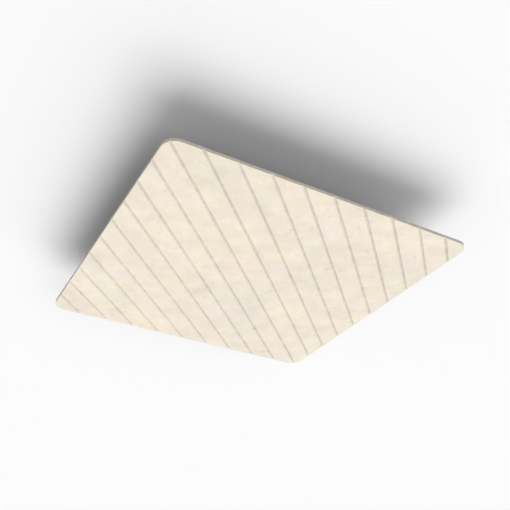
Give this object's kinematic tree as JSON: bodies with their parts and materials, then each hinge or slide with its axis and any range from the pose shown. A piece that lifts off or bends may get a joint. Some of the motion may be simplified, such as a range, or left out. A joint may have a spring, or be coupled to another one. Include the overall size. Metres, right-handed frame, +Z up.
{
  "type": "ceiling panel",
  "caption": "Square felted board with rounded corners, hung flat under a ceiling to soften sound, with V-grooves cut diagonally across its visible face and out through its edges.",
  "frame": {"origin": "middle of the flat back of the board, the face that looks up when the panel hangs", "axes": "+Z up out of the back, towards the ceiling; +X and +Y along two sides of the square, so that the grooves run parallel to the diagonal from -X-Y to +X+Y; the grooved face looks along -Z"},
  "size_m": [1.2, 1.2, 0.012],
  "materials": {
    "felt": "matte needled felt, warm off-white with a faint mottle of paler and darker fibres"
  },
  "bodies": {
    "root": {"panel": "felt"}
  },
  "joints": []
}
